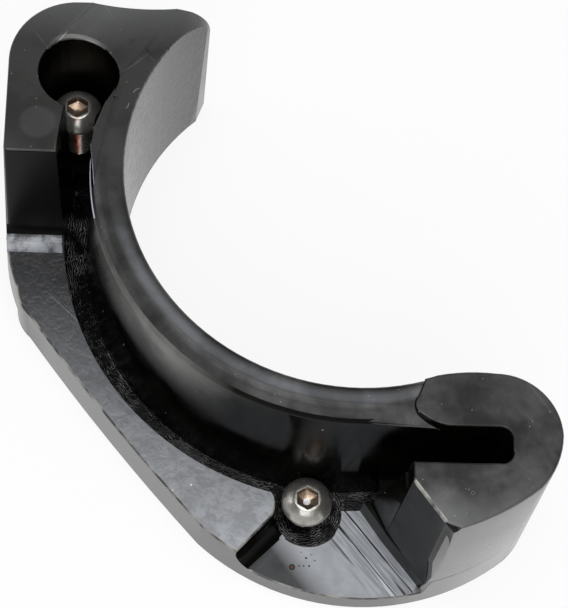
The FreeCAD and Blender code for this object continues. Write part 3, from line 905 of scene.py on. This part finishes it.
def makeMoulding():
    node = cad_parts["case_saver_body"]
    bm = bmesh.new()
    bm.from_mesh(node.data)
    bmesh.ops.remove_doubles(bm, verts=bm.verts, dist=moulding["mergeGap"] * mm)
    original = BVHTree.FromBMesh(bm)
    bmesh.ops.dissolve_limit(bm, angle_limit=math.radians(moulding["flatAngle"]), verts=bm.verts, edges=bm.edges)
    bm.normal_update()
    for face in bm.faces:
        face.material_index = slotOf[finishOf(face)]
    roundEdges(bm, original)
    addStepFoot(bm)
    for face in bm.faces:
        face.smooth = True
    openEdges = [edge for edge in bm.edges if len(edge.link_faces) != 2]
    print("moulding:", len(bm.faces), "faces,", len(openEdges), "open edges")
    rounded = [face[bm.faces.layers.int["rounded"]] for face in bm.faces]
    mesh = bpy.data.meshes.new("mouldingShell")
    bm.to_mesh(mesh)
    bm.free()
    for makeFinish in finishes.values():
        mesh.materials.append(makeFinish())
    exactNormals(mesh, node.data, rounded)
    piece = bpy.data.objects.new("mouldingShell", mesh)
    bpy.context.scene.collection.objects.link(piece)
    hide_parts("case_saver_body")
    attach(piece, "root")


makeMoulding()
print("moulding finished")


# the two button head screws
screws = {
    "frontSpot": (-7.4, -60.0),
    "frontLength": 12.0,
    "rearSpot": (-57.6, 22.2),
    "rearLength": 25.0,
    "pitch": 1.0,
    "majorRadius": 3.0,
    "minorRadius": 2.42,
    "tipRadius": 2.22,
    "flankSlope": 2.5,
    "rootFlat": 0.1,
    "threadFade": 0.6,
    "fadeGap": 0.3,
    "rowHeight": 0.1,
    "steps": 96,
    "headRadius": 5.25,
    "headEdge": 0.7,
    "headHeight": 3.3,
    "headRounding": (0.25, 0.2),
    "domeRadius": 5.2,
    "domeSteps": 14,
    "rimRadius": 2.8,
    "hexCorner": 2.45,
    "hexDepth": 2.1,
    "hexTurn": 30.0,
    "socketEdge": (0.12, 0.02, 0.14),
    "flatRadius": 0.85,
    "coneDepth": 0.55,
    "smoothAngle": 35.0,
    "metallic": 0.78,
    "metal": (0.36, 0.35, 0.325),
    "dull": (0.22, 0.212, 0.195),
    # grime in the socket, the painted reflection on the front socket's floor and the rear shank's rust: height, size,
    # softness
    "grime": (0.20, 0.13, 0.08),
    "grimeDisc": (1.9, 2.55, 0.25),
    "grimeStrength": 0.8,
    # dot is the colour of the painted reflection on the front socket's floor
    "dot": (0.95, 0.95, 0.95),
    "reflectionDisc": (0.65, 0.72, 0.06),
    "rust": (0.22, 0.06, 0.03),
    "rustWidth": 0.9,
    "rustSpot": (-0.3, -3.0, -6.0),
    "rustSoftness": 0.5,
    "rustSquash": 0.10,
    "rustStrength": 0.85,
    "rough": (0.20, 0.34),
}


def makeScrewMaterial(name, centre, length, rustWidth):
    material, tree, shader = newMaterial(name)
    where = objectCoordinates(tree)
    clouds = useGroup(tree, mottle, where, Scale=420.0, Detail=5.0, Low=0.36, High=0.66)
    lines = useGroup(tree, scratches, where, Turn=(0.0, 0.0, 0.8), Fineness=2400.0, Rarity=0.64)
    metallic = screws["metallic"]
    height, radius, softness = screws["grimeDisc"]
    inside = discAt(tree, where, centre + Vector((0.0, 0.0, (length + height) * mm)), radius, softness)
    coats = [(clouds, "dull"), (times(tree, inside, screws["grimeStrength"]), "grime")]
    if rustWidth:
        # coordinates squashed in height make the disc a tall streak
        x, y, z = screws["rustSpot"]
        spot = centre + Vector((x, y, length + z)) * mm
        squashed = addNode(tree, "ShaderNodeMapping", {"Vector": where, "Scale": (1.0, 1.0, screws["rustSquash"]),
                                                       "Location": (0.0, 0.0, (1.0 - screws["rustSquash"]) * spot.z)})
        streak = discAt(tree, squashed.outputs["Vector"], spot, rustWidth, screws["rustSoftness"])
        coats.append((times(tree, streak, screws["rustStrength"]), "rust"))
    else:
        # a painted reflection on the front socket's floor
        height, radius, softness = screws["reflectionDisc"]
        dot = discAt(tree, where, centre + Vector((0.0, 0.0, (length + height) * mm)), radius, softness)
        coats.append((dot, "dot"))
        metallic = between(tree, dot, (metallic, 0.0))
    feed(tree, shader, {"Base Color": paintOver(tree, screws, screws["metal"], *coats), "Metallic": metallic,
                        "Roughness": between(tree, clouds, screws["rough"])})
    setBump(tree, shader, lines, strength=0.12, distance=0.02)
    return material


def screwProfile(length):
    # radius and height, from the middle of the tip round to the middle of the socket
    shank = screws["majorRadius"]
    rows = round(length / screws["rowHeight"])
    points = [(0.0, 0.0)]
    points += [(shank, row * screws["rowHeight"]) for row in range(rows)]
    head, edge, top = screws["headRadius"], length + screws["headEdge"], length + screws["headHeight"]
    inward, upward = screws["headRounding"]
    points += [(shank, length), (head - inward, length), (head, length + upward), (head, edge)]
    start, end = Vector((head, edge)), Vector((screws["rimRadius"], top))
    chord, dome = end - start, screws["domeRadius"]
    rise = math.sqrt(dome**2 - (chord.length / 2)**2)
    heart = (start + end) / 2 + Vector((-chord.y, chord.x)).normalized() * rise
    first = math.atan2(start.y - heart.y, start.x - heart.x)
    last = math.atan2(end.y - heart.y, end.x - heart.x)
    for step in range(1, screws["domeSteps"] + 1):
        turn = first + (last - first) * step / screws["domeSteps"]
        points.append((heart.x + dome * math.cos(turn), heart.y + dome * math.sin(turn)))
    corner, bottom = screws["hexCorner"], top - screws["hexDepth"]
    deepest = bottom - screws["coneDepth"]
    wide, high, low = screws["socketEdge"]
    points += [(corner + wide, top - high), (corner, top - low), (corner, bottom)]
    points += [(screws["flatRadius"], deepest), (0.0, deepest)]
    return points, bottom


def threadRadius(turn, height, length):
    # a vee with a narrow flat at its crest and its root, fading out under the head and tapering at the tip
    phase = (height / screws["pitch"] - turn / (2 * math.pi)) % 1.0
    tooth = min(max(abs(phase - 0.5) * screws["flankSlope"] - screws["rootFlat"], 0.0), 1.0)
    fade = min(1.0, max(0.0, (length - height) / screws["threadFade"] - screws["fadeGap"]))
    deep = (screws["majorRadius"] - screws["minorRadius"]) * (1.0 - tooth) * fade
    return min(screws["majorRadius"] - deep, screws["tipRadius"] + height)


def makeScrew(name, centre, length, rustWidth=0.0):
    points, bottom = screwProfile(length)
    bm = bmesh.new()
    verts = [bm.verts.new((radius * mm, 0.0, height * mm)) for radius, height in points]
    edges = [bm.edges.new(pair) for pair in zip(verts, verts[1:])]
    bmesh.ops.spin(bm, geom=verts + edges, cent=(0.0, 0.0, 0.0), axis=(0.0, 0.0, 1.0), angle=2 * math.pi,
                   steps=screws["steps"], use_merge=True)
    bmesh.ops.remove_doubles(bm, verts=bm.verts, dist=0.001 * mm)
    for vert in bm.verts:
        radius = math.hypot(vert.co.x, vert.co.y) / mm
        height = vert.co.z / mm
        turn = math.atan2(vert.co.y, vert.co.x)
        wanted = radius
        if height < length - 0.01 and radius > screws["minorRadius"]:
            wanted = threadRadius(turn, height, length)
        elif height > bottom - 0.01 and radius < screws["hexCorner"] + 0.2:
            # a circle drawn in to a hexagon
            part = (math.degrees(turn) - screws["hexTurn"]) % 60.0 - 30.0
            wanted = radius * math.cos(math.radians(30.0)) / math.cos(math.radians(part))
        if radius > 0.001:
            vert.co.x *= wanted / radius
            vert.co.y *= wanted / radius
    bmesh.ops.recalc_face_normals(bm, faces=bm.faces)
    bmesh.ops.translate(bm, verts=bm.verts, vec=centre)
    for face in bm.faces:
        face.smooth = True
    mesh = bpy.data.meshes.new(name)
    bm.to_mesh(mesh)
    print(name, len(bm.faces), "faces, volume", round(bm.calc_volume() / mm**3, 1))
    bm.free()
    mesh.materials.append(makeScrewMaterial(name, centre, length, rustWidth))
    mesh.set_sharp_from_angle(angle=math.radians(screws["smoothAngle"]))
    piece = bpy.data.objects.new(name, mesh)
    bpy.context.scene.collection.objects.link(piece)
    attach(piece, "root")
    return piece


frontScrew = makeScrew("frontScrew", place(*screws["frontSpot"]), screws["frontLength"])
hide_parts("front_screw")
rearScrew = makeScrew("rearScrew", place(*screws["rearSpot"]), screws["rearLength"], screws["rustWidth"])
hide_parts("rear_screw")
print("screws finished")


# studio
studio = {
    "floorSize": 3.0,
    "floorColour": (0.90, 0.90, 0.90),
    "floorRoughness": 0.9,
    "seenWhite": 0.85,
    "horizonLight": 0.85,
    "skyLight": 0.22,
    "skyFade": (0.25, 0.60),
    # place, size and power
    "softboxes": (
        ((0.0, -0.03, 0.60), (0.36, 0.34), 1.8),
        ((0.0, -0.55, 0.55), (0.70, 0.45), 2.4),
        ((-0.70, 0.12, 0.35), (0.25, 0.25), 0.5),
    ),
}


def makeFloor():
    mesh = bpy.data.meshes.new("paleFloor")
    bm = bmesh.new()
    bmesh.ops.create_grid(bm, x_segments=1, y_segments=1, size=studio["floorSize"])
    bm.to_mesh(mesh)
    bm.free()
    floor = bpy.data.objects.new("paleFloor", mesh)
    bpy.context.scene.collection.objects.link(floor)
    material, tree, shader = newMaterial("paleFloor")
    feed(tree, shader, {"Base Color": studio["floorColour"], "Roughness": studio["floorRoughness"],
                        "Specular IOR Level": 0.0})
    white = addNode(tree, "ShaderNodeEmission", {"Strength": 1.0})
    rays = addNode(tree, "ShaderNodeLightPath").outputs
    seen = combine(tree, "MAXIMUM", rays["Is Camera Ray"], rays["Is Glossy Ray"], rays["Is Transmission Ray"])
    mix = addNode(tree, "ShaderNodeMixShader", {"Fac": times(tree, seen, studio["seenWhite"]),
                                                1: shader.outputs["BSDF"], 2: white.outputs["Emission"]})
    feed(tree, tree.nodes["Material Output"], {"Surface": mix.outputs["Shader"]})
    mesh.materials.append(material)


def makeWorld():
    # pale low down, darker high up, as round a table in a studio
    world = bpy.data.worlds.new("studio")
    world.use_nodes = True
    tree = world.node_tree
    direction = addNode(tree, "ShaderNodeTexCoord").outputs["Generated"]
    fade = spread(tree, axesOf(tree, direction)["Z"], studio["skyFade"],
                  (studio["horizonLight"], studio["skyLight"]), "SMOOTHSTEP")
    feed(tree, tree.nodes["Background"], {"Color": (1.0, 1.0, 1.0), "Strength": fade})
    bpy.context.scene.world = world


def makeLights():
    for spot, size, power in studio["softboxes"]:
        data = bpy.data.lights.new("softbox", "AREA")
        data.shape = "RECTANGLE"
        data.size, data.size_y = size
        data.energy = power
        light = bpy.data.objects.new("softbox", data)
        light.location = spot
        light.rotation_euler = (-Vector(spot)).to_track_quat("-Z", "Y").to_euler()
        bpy.context.scene.collection.objects.link(light)


makeFloor()
makeWorld()
makeLights()
bpy.context.scene.view_settings.view_transform = "Standard"
print("studio ready")
